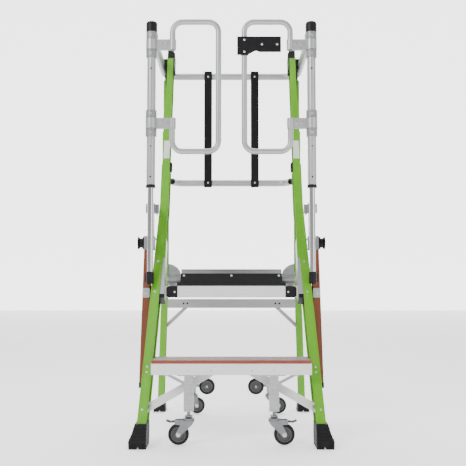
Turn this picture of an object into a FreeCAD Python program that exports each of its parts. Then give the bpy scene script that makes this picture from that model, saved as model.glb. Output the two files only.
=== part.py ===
"""Rolling guard-rail work platform: a telescoping fibreglass frame with a step, a deck, a guard rail with two
swinging gates, swivel casters under the front step and wheel sets on the rear legs.

Design frame: X across, Y from the front feet towards the rear feet, Z up, millimetres. The floor is Z = 0 and the
origin is the middle of the footprint, so every design Y is shifted by -y_shift when a part is placed.
"""
import FreeCAD, Part
import os
import math
import Sketcher
from FreeCAD import Vector as V, Placement, Rotation

doc = FreeCAD.newDocument("WorkPlatform")
sheet = doc.addObject("Spreadsheet::Sheet", "Dims")

# ------------------------------------------------------------------ driving dimensions
CELLS = [
    ("y_shift", 436.75),       # design Y of the origin
    ("lean_deg", 21.80),       # lean of the front frame
    ("orail_x", 292.0),        # half width over the front outer rails above the flare
    ("orail_w", 34.0), ("orail_d", 82.0), ("orail_wall", 4.0),
    ("orail_bot", 48.0), ("orail_bend", 974.7), ("orail_top", 1168.6),
    ("flare", 0.0539),         # outward flare of the front outer rails, per mm of rail
    ("irail_x", 287.5), ("irail_w", 26.5), ("irail_d", 73.0), ("irail_wall", 3.5),
    ("irail_bot", 740.0), ("irail_top", 1725.0), ("irail_y", 4.5),
    ("hanger_bot", 588.0),
    ("rrail_x", 309.5), ("rrail_w", 28.0), ("rrail_d", 56.0), ("rrail_wall", 3.0),
    ("rrail_y", 845.0), ("rrail_bot", 14.0), ("rrail_bend", 600.0), ("rrail_top", 1300.0), ("rflare", 0.027),
    ("rinner_w", 22.0), ("rinner_d", 49.0), ("rinner_bot", 575.0), ("rinner_top", 1545.0),
    ("post_x", 315.0), ("post_y", 215.0), ("post_od", 34.0), ("post_id", 27.0), ("post_bot", 968.0), ("post_top", 1597.0),
    ("tube_od", 23.0), ("tube_wall", 2.5), ("tube_bot", 596.0), ("tube_top", 1250.0),
    ("socket_od", 30.0), ("socket_bot", 582.0), ("socket_top", 629.0),
    ("cap_od", 44.0), ("cap_bot", 1574.3), ("cap_top", 1617.8),
    ("collar_od", 43.0), ("collar_high", 28.0),
    ("strap_high", 41.0), ("strap1_bot", 1503.5), ("strap2_bot", 1189.5), ("strap_thick", 15.0),
    ("gate_od", 22.0), ("gate_wall", 2.0), ("gate_in", 51.0), ("gate_out", 232.0), ("gate_r", 40.0),
    ("gate_top", 1616.5), ("gate_bot", 1099.5),
    ("grail_od", 31.0), ("grail_wall", 2.5), ("trail_x", 316.0), ("trail_z", 1578.0), ("trail_rear", 880.0), ("trail_r", 70.0),
    ("mrail_x", 277.0), ("mrail_z", 1063.0), ("mrail_r", 55.0),
    ("bar_w", 37.0), ("bar_x", 111.0), ("bar_t", 4.0), ("bar_bot", 1041.0), ("bar_top", 1599.0),
    ("beam_high", 45.0), ("beam_deep", 45.0), ("beam_z", 529.0), ("beam_y", 250.0), ("beam_len", 521.6), ("beam_wall", 3.0),
    ("kick_high", 49.0), ("kick_x", 198.0), ("kick_x2", 213.0), ("kick_t", 4.0),
    ("deck_x", 248.0), ("deck_front", 272.0), ("deck_rear", 850.0), ("deck_z", 610.0), ("deck_t", 18.0),
    ("pivot_y", 285.0), ("pivot_z", 600.0), ("pivot_pin", 16.0),
    ("toe_x", 234.0), ("toe_top", 653.0),
    ("leg_x", 342.5), ("leg_w", 27.5), ("leg_d", 54.0), ("leg_wall", 3.5), ("leg_top", 715.0), ("leg_bot", 200.0), ("leg_flare", 0.029),
    ("side_tube_od", 28.0), ("side_tube_x", 319.0), ("side_tube_y", 274.0),
    ("step_x", 291.5), ("step_front", 45.0), ("step_deep", 160.0), ("step_top", 296.0), ("step_high", 44.0), ("step_wall", 3.0),
    ("tread_t", 8.0),
    ("cleg_x", 155.0), ("cleg_y", 62.0), ("cleg_w", 32.0), ("cleg_bot", 121.0), ("cleg_top", 252.0),
    ("fwheel_od", 76.0), ("fwheel_w", 24.0), ("fwheel_dx", 36.5), ("fwheel_z", 38.6),
    ("rwheel_od", 72.0), ("rwheel_w", 22.0), ("rstem_x", 174.0), ("rstem_y", 765.0), ("rwheel_dx", 18.0), ("rwheel_dx2", 38.0), ("rwheel_z", 36.6),
    ("twheel_x", 110.6), ("twheel_z", 121.0),
    ("xbeam_z", 473.0), ("xbeam_high", 41.0), ("xbeam_y", 820.2), ("xbeam_deep", 49.6),
]
D = {}
for row, (alias, value) in enumerate(CELLS, start=1):
    sheet.set("A%d" % row, alias)
    sheet.set("B%d" % row, repr(float(value)))
    sheet.setAlias("B%d" % row, alias)
    D[alias] = float(value)
doc.recompute()


class Q:
    """A length that keeps both its number and the sheet formula that gives it."""

    def __init__(self, value, text):
        self.value = float(value)
        self.text = text

    def __add__(self, other):
        other = q(other)
        return Q(self.value + other.value, "(%s + %s)" % (self.text, other.text))

    def __sub__(self, other):
        other = q(other)
        return Q(self.value - other.value, "(%s - %s)" % (self.text, other.text))

    def __mul__(self, other):
        other = q(other)
        return Q(self.value * other.value, "(%s * %s)" % (self.text, other.text))

    def __truediv__(self, other):
        other = q(other)
        return Q(self.value / other.value, "(%s / %s)" % (self.text, other.text))

    def __radd__(self, other):
        return q(other) + self

    def __rsub__(self, other):
        return q(other) - self

    def __rmul__(self, other):
        return q(other) * self

    def __neg__(self):
        return Q(-self.value, "(0 - %s)" % self.text)

    def __float__(self):
        return self.value


def q(x):
    return x if isinstance(x, Q) else Q(x, ("%.6f" % float(x)) if float(x) >= 0 else ("(0 - %.6f)" % -float(x)))


def S(alias):
    return Q(D[alias], "Dims." + alias)


def bound(x):
    return isinstance(x, Q) and "Dims." in x.text


LEAN = D["lean_deg"]
SA, CA = math.sin(math.radians(LEAN)), math.cos(math.radians(LEAN))
TILT = Rotation(V(1, 0, 0), -LEAN)
NOROT = Rotation()
YS = D["y_shift"]
NODES = {}


def at(x, y, z, rot=NOROT):
    return Placement(V(float(x), float(y) - YS, float(z)), rot)


TILTED = at(0, 0, 0, TILT)


def basis(x, y, z):
    """Rotation whose local X, Y and Z axes lie along three world directions."""
    m = FreeCAD.Matrix(x[0], y[0], z[0], 0, x[1], y[1], z[1], 0, x[2], y[2], z[2], 0, 0, 0, 0, 1)
    return Placement(m).Rotation


ALONG_X = basis((0, 1, 0), (0, 0, 1), (1, 0, 0))     # local X -> Y, local Y -> Z, local Z -> X
ALONG_Y = basis((1, 0, 0), (0, 0, 1), (0, -1, 0))    # local X -> X, local Y -> Z, local Z -> -Y
AXLE_X = basis((0, 1, 0), (0, 0, 1), (1, 0, 0))
AXLE_Y = basis((0, 0, 1), (1, 0, 0), (0, 1, 0))


def put(obj, prop, value):
    """Set a size, bound to the sheet when it comes from there."""
    setattr(obj, prop, float(value))
    if bound(value):
        obj.setExpression(prop, value.text)


def new_body(name, place=None):
    b = doc.addObject("PartDesign::Body", name)
    b.Label = name
    if place is not None:
        b.Placement = place
    return b


def origin_plane(b, role):
    for f in b.Origin.OriginFeatures:
        if f.Role == role:
            return f
    raise RuntimeError("no plane " + role)


def new_sketch(b, role, offset=0.0):
    s = b.newObject("Sketcher::SketchObject", b.Name + "_sketch")
    s.AttachmentSupport = [(origin_plane(b, role), "")]
    s.MapMode = "FlatFace"
    if float(offset):
        s.AttachmentOffset = Placement(V(0, 0, float(offset)), NOROT)
        if bound(offset):
            s.setExpression("AttachmentOffset.Base.z", offset.text)
    return s


def add_loop(s, pts):
    """A closed polygon whose corners are dimensioned from the sketch origin."""
    n = len(pts)
    base = s.GeometryCount
    xy = [(float(p[0]), float(p[1])) for p in pts]
    for i in range(n):
        a, c = xy[i], xy[(i + 1) % n]
        s.addGeometry(Part.LineSegment(V(a[0], a[1], 0), V(c[0], c[1], 0)), False)
    for i in range(n):
        s.addConstraint(Sketcher.Constraint("Coincident", base + i, 2, base + (i + 1) % n, 1))
    for i, p in enumerate(pts):
        for kind, value in (("DistanceX", p[0]), ("DistanceY", p[1])):
            if abs(float(value)) < 1e-9:
                k = -2 if kind == "DistanceX" else -1
                s.addConstraint(Sketcher.Constraint("PointOnObject", base + i, 1, k))
                continue
            c = s.addConstraint(Sketcher.Constraint(kind, -1, 1, base + i, 1, float(value)))
            if bound(value):
                s.setExpression("Constraints[%d]" % c, value.text)


def add_circle(s, cx, cy, dia):
    g = s.addGeometry(Part.Circle(V(float(cx), float(cy), 0), V(0, 0, 1), float(dia) / 2), False)
    c = s.addConstraint(Sketcher.Constraint("Diameter", g, float(dia)))
    if bound(dia):
        s.setExpression("Constraints[%d]" % c, dia.text)
    if abs(float(cx)) < 1e-9 and abs(float(cy)) < 1e-9:
        s.addConstraint(Sketcher.Constraint("Coincident", g, 3, -1, 1))
    else:
        for kind, value, k in (("DistanceX", cx, -2), ("DistanceY", cy, -1)):
            if abs(float(value)) < 1e-9:
                s.addConstraint(Sketcher.Constraint("PointOnObject", g, 3, k))
            else:
                c = s.addConstraint(Sketcher.Constraint(kind, -1, 1, g, 3, float(value)))
                if bound(value):
                    s.setExpression("Constraints[%d]" % c, value.text)


def pad(b, s, length, direction=None, both=False):
    p = b.newObject("PartDesign::Pad", b.Name + "_pad")
    p.Profile = s
    put(p, "Length", length)
    if direction is not None:
        p.UseCustomVector = True
        p.Direction = direction
        p.AlongSketchNormal = False
    if both:
        p.Midplane = True
    s.Visibility = False
    return p


def prism(name, loops, length, place, circles=(), role="XY_Plane", both=False):
    """One extruded piece: polygons (the first is the outline) and round holes, padded by length."""
    b = new_body(name, place)
    s = new_sketch(b, role)
    for loop in loops:
        add_loop(s, loop)
    for c in circles:
        add_circle(s, *c)
    pad(b, s, length, both=both)
    return b


def turned(name, profile, place):
    """One turned piece: a profile of (radius, height) revolved about local Z."""
    b = new_body(name, place)
    s = new_sketch(b, "XZ_Plane")
    add_loop(s, profile)
    r = b.newObject("PartDesign::Revolution", name + "_rev")
    r.Profile = s
    r.ReferenceAxis = (s, ["V_Axis"])
    r.Angle = 360
    return b


def bent_path(pts, radius):
    """Lines and tangent arcs through the corner points of a flat path, with each arc's (first, last) end numbers."""
    geo, ends = [], []
    pts = [V(float(p[0]), float(p[1]), 0) for p in pts]
    start = pts[0]
    for i in range(1, len(pts) - 1):
        a, c, e = pts[i - 1], pts[i], pts[i + 1]
        d1 = (c - a).normalize()
        d2 = (e - c).normalize()
        turn = math.acos(max(-1.0, min(1.0, d1.dot(d2))))
        back = radius * math.tan(turn / 2)
        p1 = c - d1 * back
        p2 = c + d2 * back
        centre = c + (d2 - d1).normalize() * (radius / math.cos(turn / 2))
        left = d1.cross(d2).z > 0
        first, last = (p1, p2) if left else (p2, p1)
        a0 = math.atan2(first.y - centre.y, first.x - centre.x)
        a1 = math.atan2(last.y - centre.y, last.x - centre.x)
        while a1 <= a0:
            a1 += 2 * math.pi
        geo.append(Part.LineSegment(start, p1))
        ends.append((1, 2))
        geo.append(Part.ArcOfCircle(Part.Circle(centre, V(0, 0, 1), radius), a0, a1))
        ends.append((1, 2) if left else (2, 1))
        start = p2
    geo.append(Part.LineSegment(start, pts[-1]))
    ends.append((1, 2))
    return geo, ends


def bent_tube(name, pts, radius, od, wall, place):
    """A bent tube. The path starts at the local origin along +Y and lies in the local XY plane."""
    b = new_body(name, place)
    path = new_sketch(b, "XY_Plane")
    geo, ends = bent_path(pts, radius)
    for g in geo:
        path.addGeometry(g, False)
    for i in range(len(geo) - 1):
        path.addConstraint(Sketcher.Constraint("Coincident", i, ends[i][1], i + 1, ends[i + 1][0]))
    prof = new_sketch(b, "XZ_Plane")
    add_circle(prof, 0, 0, od)
    add_circle(prof, 0, 0, od - wall * 2)
    p = b.newObject("PartDesign::AdditivePipe", name + "_pipe")
    p.Profile = prof
    p.Spine = (path, ["Edge%d" % (i + 1) for i in range(len(geo))])
    path.Visibility = False
    prof.Visibility = False
    return b


def box(name, x0, x1, y0, y1, z0, z1, frame=None):
    """A Part box from its lowest to its highest corner, in the world or in the leaning frame."""
    o = doc.addObject("Part::Box", name)
    o.Label = name
    put(o, "Length", q(x1) - q(x0))
    put(o, "Width", q(y1) - q(y0))
    put(o, "Height", q(z1) - q(z0))
    if frame is None:
        o.Placement = at(x0, y0, z0)
    else:
        o.Placement = frame.multiply(Placement(V(float(x0), float(y0), float(z0)), NOROT))
    return o


def cyl(name, dia, length, place):
    o = doc.addObject("Part::Cylinder", name)
    o.Label = name
    put(o, "Radius", q(dia) / 2)
    put(o, "Height", length)
    o.Placement = place
    return o


def cut(name, base, *tools):
    if len(tools) > 1:
        t = doc.addObject("Part::MultiFuse", name + "_tools")
        t.Shapes = list(tools)
    else:
        t = tools[0]
    o = doc.addObject("Part::Cut", name)
    o.Label = name
    o.Base = base
    o.Tool = t
    return o


def fuse(name, *objs):
    o = doc.addObject("Part::MultiFuse", name)
    o.Label = name
    o.Shapes = list(objs)
    o.Refine = True
    return o


def mirror(obj, name):
    """The same piece on the other side of the middle plane X = 0."""
    o = doc.addObject("Part::Mirroring", name)
    o.Label = name
    o.Source = obj
    o.Base = V(0, 0, 0)
    o.Normal = V(1, 0, 0)
    return o


def group(name, *objs):
    o = doc.addObject("Part::Compound", name)
    o.Label = name
    o.Links = list(objs)
    NODES[name] = o
    return o


def pair(name, left):
    """One node that holds a left piece and its mirror image."""
    left.Label = name + "_left"
    return group(name, left, mirror(left, name + "_right"))


def single(name, obj):
    obj.Label = name
    NODES[name] = obj
    return obj


def rivet(name, place, dia=9.0, high=2.2):
    """A low domed head that sits on a face; local +Z points out of the face."""
    return turned(name, [(0, 0), (dia / 2, 0), (dia / 2, high * 0.35), (dia * 0.36, high * 0.8), (dia * 0.16, high), (0, high)], place)


FACE_FRONT = basis((1, 0, 0), (0, 0, 1), (0, -1, 0))   # local Z towards the front
FACE_UP = NOROT


def strip_outline(pts, wide):
    """Outline of a flat strip of constant width that follows a polyline."""
    pts = [(float(a), float(c)) for a, c in pts]
    left, right = [], []
    for i, p in enumerate(pts):
        dirs = []
        if i > 0:
            dirs.append((p[0] - pts[i - 1][0], p[1] - pts[i - 1][1]))
        if i < len(pts) - 1:
            dirs.append((pts[i + 1][0] - p[0], pts[i + 1][1] - p[1]))
        ns = []
        for d in dirs:
            l = math.hypot(*d)
            ns.append((-d[1] / l, d[0] / l))
        nx, ny = sum(n[0] for n in ns) / len(ns), sum(n[1] for n in ns) / len(ns)
        l = math.hypot(nx, ny)
        k = wide / 2 / l / l if len(ns) > 1 else wide / 2 / l
        left.append((p[0] + nx * k, p[1] + ny * k))
        right.append((p[0] - nx * k, p[1] - ny * k))
    return left + right[::-1]


def rect(x0, y0, x1, y1):
    return [(x0, y0), (x1, y0), (x1, y1), (x0, y1)]


def c_section(x0, y0, w, d, t, open_to=1):
    """A channel outline. x0, y0 is the web's front corner; open_to is +1 when the mouth faces +X."""
    k = open_to
    return [(x0, y0), (x0 + w * k, y0), (x0 + w * k, y0 + t), (x0 + t * k, y0 + t),
            (x0 + t * k, y0 + d - t), (x0 + w * k, y0 + d - t), (x0 + w * k, y0 + d), (x0, y0 + d)]


def section_wire(name, x0, x1, y0, y1, z, frame):
    s = doc.addObject("Sketcher::SketchObject", name)
    add_loop(s, rect(x0, y0, x1, y1))
    s.Placement = frame.multiply(Placement(V(0, 0, float(z)), NOROT))
    return s


def loft(name, sections, frame):
    """A ruled solid through rectangles (z, x0, x1, y0, y1)."""
    o = doc.addObject("Part::Loft", name)
    o.Label = name
    o.Sections = [section_wire("%s_s%d" % (name, i), x0, x1, y0, y1, z, frame)
                  for i, (z, x0, x1, y0, y1) in enumerate(sections)]
    o.Solid = True
    o.Ruled = True
    return o


WORLD = at(0, 0, 0)

# ================================================================== front outer rails (the sliding base)
# A channel open inwards: straight above the bend, flared outwards below it.
b = new_body("outer_rail", TILTED)
sec = c_section(-S("orail_x"), q(0), S("orail_w"), S("orail_d"), S("orail_wall"))
s1 = new_sketch(b, "XY_Plane", S("orail_bend"))
add_loop(s1, sec)
pad(b, s1, S("orail_top") - S("orail_bend"))
s2 = new_sketch(b, "XY_Plane", S("orail_bend"))
add_loop(s2, sec)
low = D["orail_bend"] - D["orail_bot"]
flare = D["flare"]
pad(b, s2, low * math.sqrt(1 + flare * flare), direction=V(-flare, 0, -1))
pair("outer_rails", b)


def rail_x(zp, clear=0.0):
    """Outer face of the front outer rail at zp along the rail."""
    return -(D["orail_x"] + max(0.0, D["orail_bend"] - zp) * flare) - clear


# rubber shoes with a waisted top and a two-lobed sole
shoe = loft("shoe_body", [(0, -362, -300.5, -22, 88), (26, -364, -301, -18, 104), (52, -353, -302.5, -2, 118), (80, -346.5, -303.5, 22, 124)], WORLD)
env = loft("shoe_pocket", [(47.9, rail_x(47.9) - 0.1, rail_x(47.9) + 34.1, -0.1, 82.1), (200, rail_x(200) - 0.1, rail_x(200) + 34.1, -0.1, 82.1)], TILTED)
notch = prism("shoe_notch", [[(-334, -1), (-326, -1), (-329, 9), (-331, 9)]], 200, at(0, 120, 0, ALONG_Y))
shoe_cut = cut("shoe", shoe, env, notch)
pair("front_feet", shoe_cut)

# step: a folded channel between the rails, with a plug in each rail's mouth
sx = S("step_x")
y0, zt = S("step_front"), S("step_top")
w, hgh, t = S("step_deep"), S("step_high"), S("step_wall")
profile = [(q(0), q(0)), (t, q(0)), (t, hgh - t), (w - t, hgh - t), (w - t, q(8)), (w, q(8)), (w, hgh), (q(0), hgh)]
chan = prism("step_channel", [profile], sx * 2, at(-D["step_x"], D["step_front"], D["step_top"] - D["step_high"], ALONG_X))
tabL = box("step_tab_left", -321.3, -(D["step_x"] - 12), 124.5, 186, 257, zt - 1)
tabR = box("step_tab_right", D["step_x"] - 12, 321.3, 124.5, 186, 257, zt - 1)
single("step", fuse("step", chan, tabL, tabR))

# ribbed tread strip on the step
n = 12
prof = [(0, 0), (160, 0)]
rib = []
for i in range(n):
    a = 160 - i * (160 / n)
    rib += [(a, 6.0), (a - 2, 8.0), (a - 8, 8.0), (a - 10, 6.0)]
rib.append((0, 6.0))
prof = [(0, 0), (160, 0)] + rib
single("step_tread", prism("step_tread", [prof], S("step_x") * 2 - 1, at(-D["step_x"] + 0.5, D["step_front"], D["step_top"] + 0.05, ALONG_X)))

# flat braces from the foot of each rail to the underside of the step
br = prism("brace", [strip_outline([(-321, 140), (-72, 284)], 30)], 4, at(0, 0, 0, TILT.multiply(ALONG_Y)).multiply(Placement(V(0, 0, -24), NOROT)))
pair("step_braces", br)

# caster legs: a square tube with a top plate, a lower sleeve and a bored plug for the caster's stem
lx, ly, lw = -D["cleg_x"], D["cleg_y"], D["cleg_w"]
leg_sq = box("cleg_tube", lx - lw / 2, lx + lw / 2, ly - lw / 2, ly + lw / 2, S("cleg_bot"), S("cleg_top") - 0.0)
leg_pl = box("cleg_plate", lx - 42, lx + 42, ly - 13.9, ly + 46, 248.0, 252.0)
leg_sl = box("cleg_sleeve", lx - 17.6, lx + 17.6, ly - 17.6, ly + 17.6, 121.0, 186.0)
leg_f = fuse("cleg_solid", leg_sq, leg_pl, leg_sl)
bore = cyl("cleg_bore", 12.1, 50, at(lx, ly, 115))
pair("caster_legs", cut("cleg", leg_f, bore))

# ================================================================== front casters
def caster(prefix, side, x, y, zc, od, wide, dx, head_z, stem_top, with_pedal):
    """Fork with stem and axle, and wheel, of one swivel caster. side is -1 on the left and the wheel trails by dx."""
    r = float(od) / 2
    wx = x + dx
    half = wide / 2 + 2.0
    yy = y
    head = turned(prefix + "_head", [(0, 0), (19, 0), (21.5, 2.5), (21.5, 7.0), (15, 9.5), (9.5, 11.0), (0, 11.0)], at(x, yy, head_z))
    stem = cyl(prefix + "_stem", 12.0, stem_top - head_z - 5, at(x, yy, head_z + 5))
    bridge = box(prefix + "_bridge", min(x - 21, x + 21), max(x - 21, x + 21), yy - half - 3, yy + half + 3, head_z - 3, head_z + 0.5)
    sgn = 1 if dx > 0 else -1
    out = [(x - 21 * sgn, head_z), (x + 21 * sgn, head_z), (wx + 9.5 * sgn, zc + 4), (wx + 7 * sgn, zc - 7), (wx - 3 * sgn, zc - 9.5), (wx - 10 * sgn, zc - 2), (x - 14 * sgn, head_z - 13)]
    if abs(dx) < 25:
        out = [(x - 21 * sgn, head_z), (x + 21 * sgn, head_z), (wx + 10 * sgn, zc + 6), (wx + 7 * sgn, zc - 7), (wx - 4 * sgn, zc - 9), (wx - 10.5 * sgn, zc + 2), (x - 21 * sgn, head_z - 12)]
    c1 = prism(prefix + "_cheek_front", [out], 3, at(0, yy - half, 0, ALONG_Y))
    c2 = prism(prefix + "_cheek_rear", [out], 3, at(0, yy + half + 3, 0, ALONG_Y))
    axle = cyl(prefix + "_axle", 8.0, 2 * half + 12, at(wx, yy - half - 6, zc, AXLE_Y))
    parts = [head, stem, bridge, c1, c2, axle]
    if with_pedal:
        px = x + 44 * sgn
        ear = [(x + 18 * sgn, head_z - 3), (x + 18 * sgn, head_z + 3.2), (px + 6 * sgn, head_z + 2.2), (px + 6 * sgn, head_z - 13), (x + 24 * sgn, head_z - 16)]
        e1 = prism(prefix + "_ear_front", [ear], 3, at(0, yy - half, 0, ALONG_Y))
        e2 = prism(prefix + "_ear_rear", [ear], 3, at(0, yy + half + 3, 0, ALONG_Y))
        pin = cyl(prefix + "_pedal_pin", 5.0, 2 * half + 6, at(px, yy - half - 3, head_z - 5, AXLE_Y))
        parts += [e1, e2, pin]
    fork = fuse(prefix + "_fork", *parts)
    single(prefix + "_fork", fork)
    # wheel: hub and tyre are separate solids of one node, on a running fit
    rb = 4.05
    hub = turned(prefix + "_hub", [(rb, -wide / 2 - 1), (9, -wide / 2 - 1), (9, -wide / 2 + 2), (r * 0.30, -wide / 2 + 2), (r * 0.36, -4), (r * 0.58, -4),
                                   (r * 0.62, -wide / 2 + 1.5), (r * 0.72, -wide / 2 + 1.5), (r * 0.72, wide / 2 - 1.5), (r * 0.62, wide / 2 - 1.5), (r * 0.58, 4),
                                   (r * 0.36, 4), (r * 0.30, wide / 2 - 2), (9, wide / 2 - 2), (9, wide / 2 + 1), (rb, wide / 2 + 1)], at(wx, yy, zc, AXLE_Y))
    tyre = turned(prefix + "_tyre", [(r * 0.72, -wide / 2), (r * 0.90, -wide / 2), (r * 0.97, -wide / 2 + 2.2), (r, -wide / 2 + 6), (r, wide / 2 - 6), (r * 0.97, wide / 2 - 2.2),
                                     (r * 0.90, wide / 2), (r * 0.72, wide / 2)], at(wx, yy, zc, AXLE_Y))
    group(prefix + "_wheel", hub, tyre)
    if with_pedal:
        px = x + 44 * sgn
        hz = head_z - 5
        arm = [(px - 7 * sgn, hz - 3.5), (px - 7 * sgn, hz + 3.5), (px + 7 * sgn, hz + 4.5), (px + 22 * sgn, hz + 1.5), (px + 37 * sgn, hz + 6.5),
               (px + 38.5 * sgn, hz + 3.5), (px + 23 * sgn, hz - 2.0), (px + 7 * sgn, hz - 1.0)]
        ped = prism(prefix + "_pedal_arm", [arm], wide + 2, at(0, yy + wide / 2 + 1, 0, ALONG_Y))
        hole = cyl(prefix + "_pedal_bore", 5.1, wide + 20, at(px, yy - wide / 2 - 10, hz, AXLE_Y))
        single(prefix + "_pedal", cut(prefix + "_pedal", ped, hole))


for name, sd in (("front_left", -1), ("front_right", 1)):
    caster(name, sd, sd * D["cleg_x"], D["cleg_y"], D["fwheel_z"], D["fwheel_od"], D["fwheel_w"], sd * D["fwheel_dx"], 88.0, 150.0, True)
for name, sd in (("rear_left", -1), ("rear_right", 1)):
    caster(name, sd, sd * D["rstem_x"], D["rstem_y"], D["rwheel_z"], D["rwheel_od"], D["rwheel_w"], D["rwheel_dx"] if sd < 0 else D["rwheel_dx2"], 80.0, 118.0, False)

# transport wheels on the rear arms
for name, sd in (("transport_left", -1), ("transport_right", 1)):
    r, wide, rb = D["rwheel_od"] / 2, D["rwheel_w"], 5.05
    wx, zc, yy = sd * D["twheel_x"], D["twheel_z"], D["rstem_y"]
    hub = turned(name + "_hub", [(rb, -wide / 2 - 1), (9.5, -wide / 2 - 1), (9.5, -wide / 2 + 2), (r * 0.32, -wide / 2 + 2), (r * 0.36, -4), (r * 0.58, -4), (r * 0.62, -wide / 2 + 1.5), (r * 0.72, -wide / 2 + 1.5),
                                 (r * 0.72, wide / 2 - 1.5), (r * 0.62, wide / 2 - 1.5), (r * 0.58, 4), (r * 0.36, 4), (r * 0.32, wide / 2 - 2), (9.5, wide / 2 - 2), (9.5, wide / 2 + 1), (rb, wide / 2 + 1)],
                 at(wx, yy, zc, AXLE_Y))
    tyre = turned(name + "_tyre", [(r * 0.72, -wide / 2), (r * 0.90, -wide / 2), (r * 0.97, -wide / 2 + 2.2), (r, -wide / 2 + 6), (r, wide / 2 - 6), (r * 0.97, wide / 2 - 2.2), (r * 0.90, wide / 2), (r * 0.72, wide / 2)],
                  at(wx, yy, zc, AXLE_Y))
    group(name + "_wheel", hub, tyre)

# ================================================================== rear outer rails, feet, cross beam, knee braces, caster arms
rx, ry, rw, rd, rt = D["rrail_x"], D["rrail_y"], D["rrail_w"], D["rrail_d"], D["rrail_wall"]
b = new_body("rear_outer", at(0, 0, 0))
sec = c_section(-(S("rrail_x") + S("rrail_w") / 2), S("rrail_y") - S("rrail_d") / 2, S("rrail_w"), S("rrail_d"), S("rrail_wall"))
s1 = new_sketch(b, "XY_Plane", S("rrail_bend"))
add_loop(s1, sec)
pad(b, s1, S("rrail_top") - S("rrail_bend"))
s2 = new_sketch(b, "XY_Plane", S("rrail_bend"))
add_loop(s2, sec)
low = D["rrail_bend"] - D["rrail_bot"]
rf = D["rflare"]
pad(b, s2, low * math.sqrt(1 + rf * rf), direction=V(-rf, 0, -1))
pair("rear_outer_rails", b)


def rear_x(z):
    """Outer face of the rear outer rail at height z."""
    return -(rx + rw / 2 + max(0.0, D["rrail_bend"] - z) * rf)


shoe = loft("rear_shoe_body", [(0, -357.5, -302, 806, 884), (20, -355, -304, 808, 882), (42, -343.5, -306.8, 812, 878)], WORLD)
env = loft("rear_shoe_pocket", [(12.0, rear_x(12), rear_x(12) + rw, ry - rd / 2, ry + rd / 2), (120, rear_x(120), rear_x(120) + rw, ry - rd / 2, ry + rd / 2)], WORLD)
notch = prism("rear_notch", [[(-334, -1), (-325, -1), (-328, 7), (-331, 7)]], 120, at(0, 900, 0, ALONG_Y))
pair("rear_feet", cut("rear_shoe", shoe, env, notch))

# cross beam: a box section that plugs into both rails
xb = D["xbeam_y"]
tube = prism("xbeam_tube", [rect(q(0), q(0), S("xbeam_deep"), S("xbeam_high")), rect(q(2.5), q(2.5), S("xbeam_deep") - 2.5, S("xbeam_high") - 2.5)], 622, at(-311, D["xbeam_y"], D["xbeam_z"], ALONG_X))
# diagonal knee braces under the beam
kx0 = rear_x(395) + rt + 1.0
kn = prism("knee", [[(-313, 380), (-306, 375), (-203, 472.9), (-226, 472.9), (-313, 391)]], 4, at(0, 844, 0, ALONG_Y))
kn2 = mirror(kn, "knee_right")
group("rear_cross_beam", tube, kn, kn2)

# caster arms: a bent flat strip from the rear rail to the transport wheel, with a socket block for the swivel caster
yy = D["rstem_y"]
strip = prism("arm_strip", [strip_outline([(-304, 179), (-224, 137), (-174, 124), (-103, 121)], 13)], 6, at(0, yy + 21, 0, ALONG_Y))
root_pl = box("arm_root", -306.0, -300.0, yy + 15, 866, 160, 196)
block = box("arm_block", -174 - 14, -174 + 14, yy - 14, yy + 21, 93, 131)
bore = cyl("arm_bore", 12.1, 30, at(-174, yy, 90))
axle = cyl("arm_axle", 10.0, 44, at(-D["twheel_x"], yy - 17, D["twheel_z"], AXLE_Y))
arm = cut("arm_cut", fuse("arm_solid", strip, root_pl, block, axle), bore)
pair("caster_arms", arm)

# ================================================================== upper frame: front inner rails, hangers, caps, rear inner rails
b = new_body("inner_rail", TILTED)
sec = c_section(-S("irail_x"), S("irail_y"), S("irail_w"), S("irail_d"), S("irail_wall"))
s1 = new_sketch(b, "XY_Plane", S("irail_bot"))
add_loop(s1, sec)
pad(b, s1, S("irail_top") - S("irail_bot"))
pair("inner_rails", b)

# aluminium hangers: a channel open outwards below the inner rail, with a tongue up inside it
b = new_body("hanger", TILTED)
s1 = new_sketch(b, "XY_Plane", S("hanger_bot"))
add_loop(s1, c_section(-(S("irail_x") - S("irail_w")), S("irail_y"), S("irail_w"), S("irail_d"), q(3.5), open_to=-1))
pad(b, s1, S("irail_bot") - S("hanger_bot"))
s2 = new_sketch(b, "XY_Plane", S("irail_bot"))
add_loop(s2, rect(-D["irail_x"] + 22, D["irail_y"] + 10, -D["irail_x"] + 26.5, D["irail_y"] + D["irail_d"] - 10))
pad(b, s2, 90)
pair("rail_hangers", b)

# plastic end pieces: slide blocks under the hangers, caps on the side legs, bushes in the posts
glide = box("glide", -(D["irail_x"]) + 0.3, -(D["irail_x"] - D["irail_w"]) - 0.4, D["irail_y"] + 0.2, D["irail_y"] + D["irail_d"] - 0.2, 572.0, D["hanger_bot"] - 0.1, TILTED)
lsl = D["leg_flare"]


def leg_out(z):
    """Outer face of the side leg at height z."""
    return -(D["leg_x"] + (D["leg_top"] - z) * lsl)


LEGY = 246.0
lcap = box("leg_cap", leg_out(190) - 1.0, leg_out(190) + D["leg_w"] + 0.4, LEGY - 1, LEGY + D["leg_d"] + 1, 180.0, D["leg_bot"] - 0.1)
px, py = -D["post_x"], D["post_y"]
bush = turned("post_bush", [(D["tube_od"] / 2 + 0.05, 0), (19.0, 0), (19.0, 9.0), (17.0, 12.0), (13.45, 12.0), (13.45, 44.0), (D["tube_od"] / 2 + 0.05, 44.0)], at(px, py, D["post_bot"] - 12.0))
group("plastic_end_fittings", glide, mirror(glide, "glide_right"), lcap, mirror(lcap, "leg_cap_right"), bush, mirror(bush, "post_bush_right"))

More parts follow.
